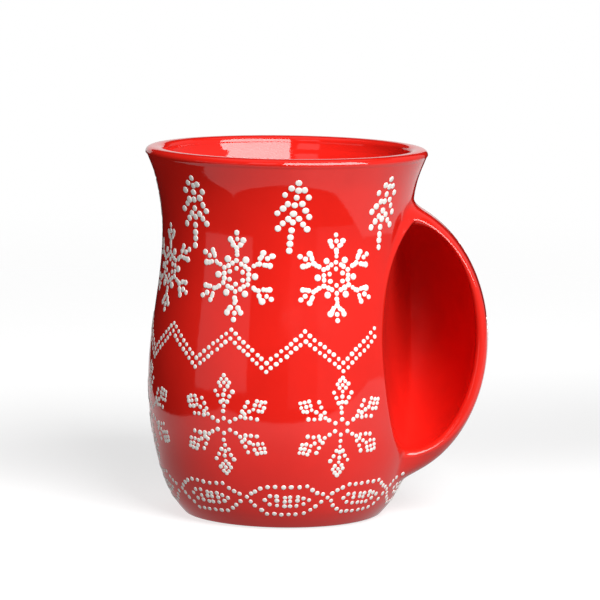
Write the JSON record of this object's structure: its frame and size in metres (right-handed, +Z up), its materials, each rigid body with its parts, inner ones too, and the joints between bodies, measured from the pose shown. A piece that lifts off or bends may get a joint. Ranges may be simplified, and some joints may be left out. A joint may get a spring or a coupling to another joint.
{
  "type": "hand-warmer mug",
  "caption": "Waisted stoneware mug with a hollow finger pocket in place of a handle, glazed in and out, on a bare foot ring.",
  "frame": {"origin": "on the surface the mug stands on, under the centre of the whole mug's outline", "axes": "+Z up along the mug's axis; +X towards the finger pocket; -Y towards the side the fingers go in from"},
  "size_m": [0.1165, 0.0946, 0.125],
  "materials": {
    "outer_glaze": "gloss red glaze",
    "pocket_glaze": "gloss red glaze",
    "inner_glaze": "gloss red glaze",
    "bare_clay": "unglazed stoneware, ground smooth",
    "white_slip": "satin white slip"
  },
  "bodies": {
    "root": {"vessel": "outer_glaze", "hand_pocket": "pocket_glaze", "liner_glaze": "inner_glaze", "foot_ring": "bare_clay"}
  },
  "joints": []
}
